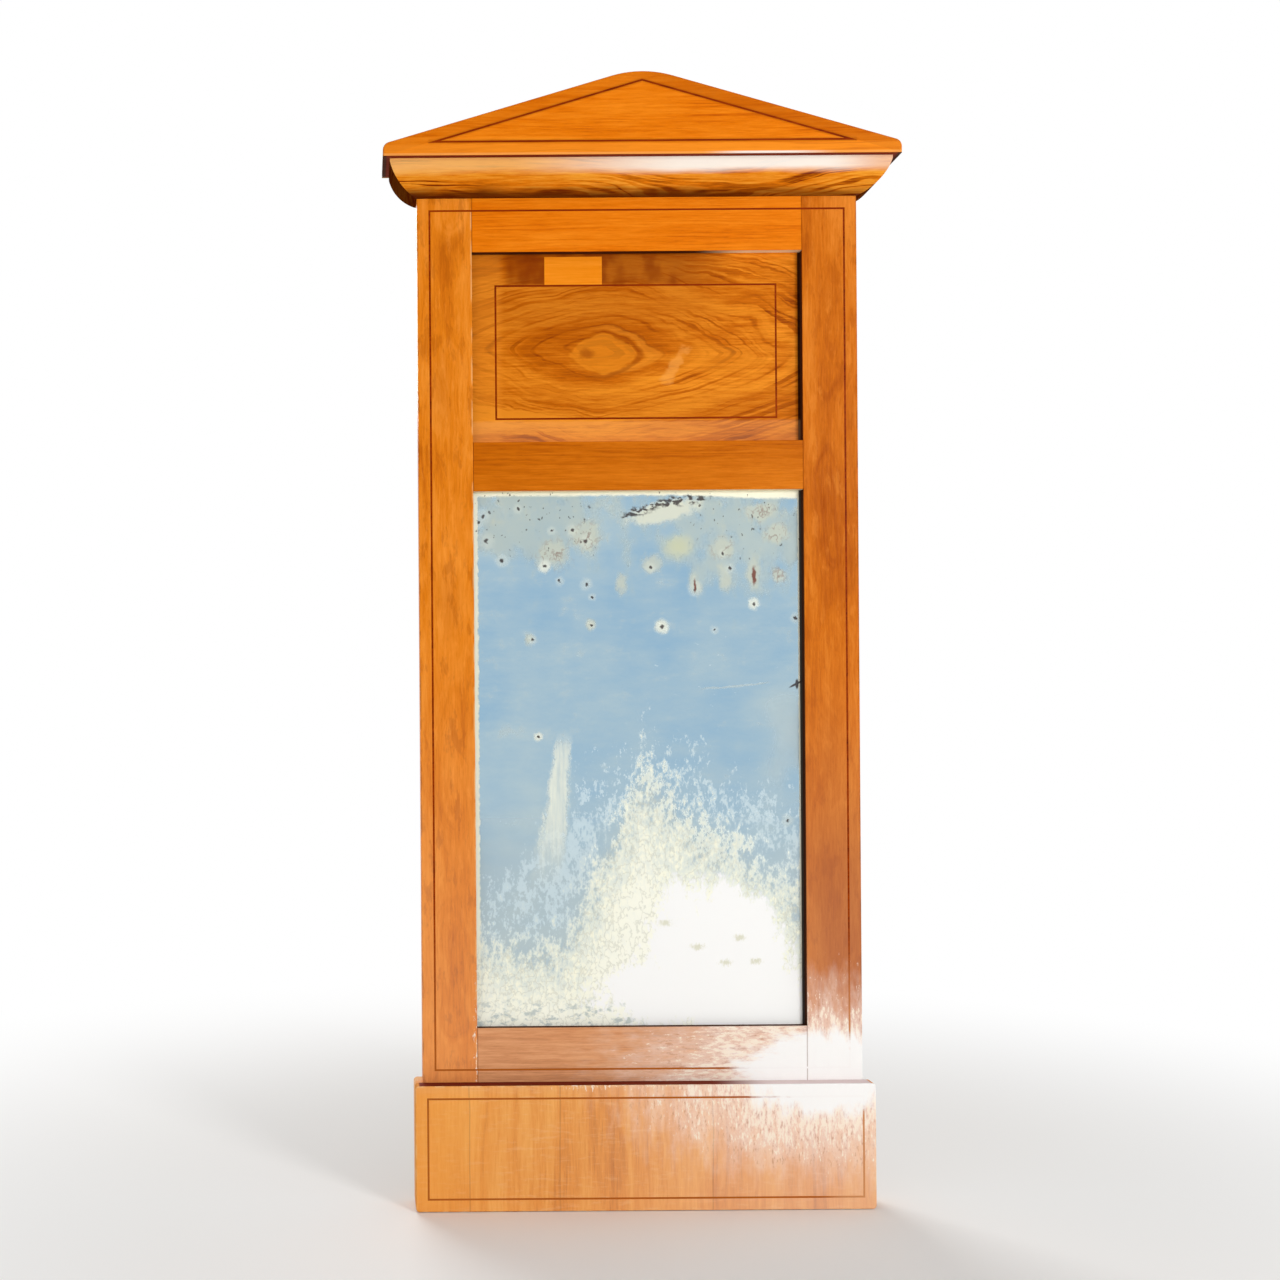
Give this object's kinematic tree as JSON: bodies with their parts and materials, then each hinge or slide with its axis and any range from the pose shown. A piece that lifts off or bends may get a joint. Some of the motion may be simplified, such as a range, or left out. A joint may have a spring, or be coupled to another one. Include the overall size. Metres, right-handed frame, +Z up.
{
  "type": "pediment mirror",
  "caption": "Tall wall mirror with a low gabled pediment on a quarter-round cornice, an inlaid frieze panel over an aged plate, a plinth below and swinging ring hangers behind.",
  "frame": {"origin": "in the wall plane, midway between the bars of the two hanging rings", "axes": "+X to the viewer's right, +Y into the wall, +Z up; the mirror faces -Y"},
  "size_m": [0.544, 0.0645, 1.2008],
  "materials": {
    "veneer": "polished honey veneer",
    "figured_veneer": "polished figured veneer",
    "patch_veneer": "polished, paler repair",
    "moulding": "polished",
    "string_inlay": "dark stained, polished",
    "pine": "bare, aged",
    "peg_wood": "bare",
    "mirror_plate": "aged silvering",
    "iron": "dull, aged"
  },
  "bodies": {
    "case": {"backboard_left": "pine", "backboard_middle": "pine", "backboard_nails": "iron", "backboard_right": "pine", "bottom_rail": "pine", "bottom_rail_veneer": "veneer", "cornice_front": "moulding", "cornice_left_return": "moulding", "cornice_right_return": "moulding", "cornice_screws": "iron", "frame_stringing": "string_inlay", "frieze_panel": "pine", "frieze_patch": "patch_veneer", "frieze_stringing": "string_inlay", "frieze_veneer": "figured_veneer", "glass_wedges": "pine", "hanger_screws": "iron", "left_hanger_strap": "iron", "left_roof_board": "pine", "left_side_veneer": "veneer", "left_stile": "pine", "left_stile_veneer": "veneer", "middle_rail": "pine", "middle_rail_veneer": "veneer", "mirror_glass": "mirror_plate", "pediment_bed": "pine", "pediment_dowels": "peg_wood", "pediment_ribs": "pine", "pediment_stringing": "string_inlay", "pediment_veneer": "veneer", "plinth_board": "pine", "plinth_glue_blocks": "pine", "plinth_left_return": "moulding", "plinth_right_return": "moulding", "plinth_screws": "iron", "plinth_stringing": "string_inlay", "plinth_veneer": "veneer", "right_hanger_strap": "iron", "right_roof_board": "pine", "right_side_veneer": "veneer", "right_stile": "pine", "right_stile_veneer": "veneer", "tenon_pegs": "peg_wood", "top_rail": "pine", "top_rail_veneer": "veneer", "tympanum": "pine"},
    "left_ring": {"left_hanger_ring": "iron"},
    "right_ring": {"right_hanger_ring": "iron"}
  },
  "joints": [
    {"name": "left_ring_swing", "type": "hinge", "parent": "case", "child": "left_ring", "pos_m": [-0.21625, -0.00362, 0], "axis": [1, 0, 0], "range_deg": [0, 180]},
    {"name": "right_ring_swing", "type": "hinge", "parent": "case", "child": "right_ring", "pos_m": [0.21625, -0.00362, 0], "axis": [1, 0, 0], "range_deg": [0, 180]}
  ]
}
